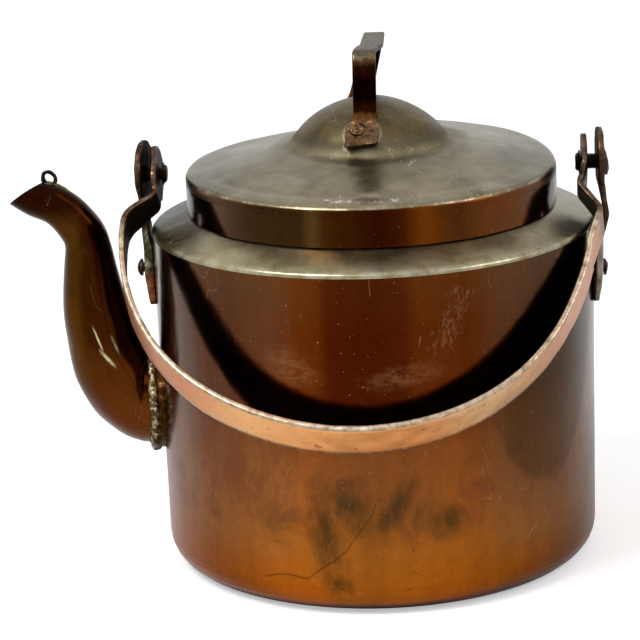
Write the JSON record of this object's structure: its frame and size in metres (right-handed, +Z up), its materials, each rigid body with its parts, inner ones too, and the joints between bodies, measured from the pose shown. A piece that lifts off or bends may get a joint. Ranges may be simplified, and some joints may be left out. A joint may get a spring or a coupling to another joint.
{
  "type": "kettle",
  "caption": "Round copper kettle with a lift-off domed lid, a strap handle on the lid, an S-shaped spout and a swinging strap bail that rests on the front wall.",
  "frame": {"origin": "middle of the flat base, on the table", "axes": "+Z up, the spout points along -X, the bail rests on the front wall along -Y"},
  "size_m": [0.3002, 0.2372, 0.26],
  "materials": {
    "copper_body": "copper, brown and glossy from age, lighter towards the base",
    "copper_patina": "copper under a smooth olive grey patina",
    "copper_skirt": "dark brown glossy copper",
    "copper_spout": "dark brown glossy copper",
    "solder": "rough hard solder",
    "dark_metal": "forged copper alloy, nearly black with age",
    "bail_copper": "bare copper strap, rubbed bright by hands"
  },
  "bodies": {
    "kettle": {"base_pan": "copper_body", "body_wall": "copper_body", "shoulder_neck": "copper_patina", "spout_collar": "copper_spout", "spout": "copper_spout", "spout_solder": "solder", "spout_ring": "dark_metal", "left_ear": "dark_metal", "right_ear": "dark_metal", "left_ear_rivet": "dark_metal", "right_ear_rivet": "dark_metal", "left_rivet_burr": "copper_body", "right_rivet_burr": "copper_body", "left_pivot_pin": "dark_metal", "right_pivot_pin": "dark_metal", "left_pivot_washer": "dark_metal", "right_pivot_washer": "dark_metal"},
    "bail": {"bail": "bail_copper"},
    "lid": {"lid_skirt": "copper_skirt", "lid_top": "copper_patina", "lid_handle": "dark_metal", "front_handle_rivet": "dark_metal", "back_handle_rivet": "dark_metal", "front_handle_burr": "copper_body", "back_handle_burr": "copper_body"}
  },
  "joints": [
    {"name": "bail_swing", "type": "hinge", "parent": "kettle", "child": "bail", "pos_m": [0, 0, 0.1964], "axis": [-1, 0, 0], "range_deg": [0, 262]},
    {"name": "lid_lift", "type": "slide", "parent": "kettle", "child": "lid", "axis": [0, 0, 1], "range_m": [0, 0.06]}
  ]
}
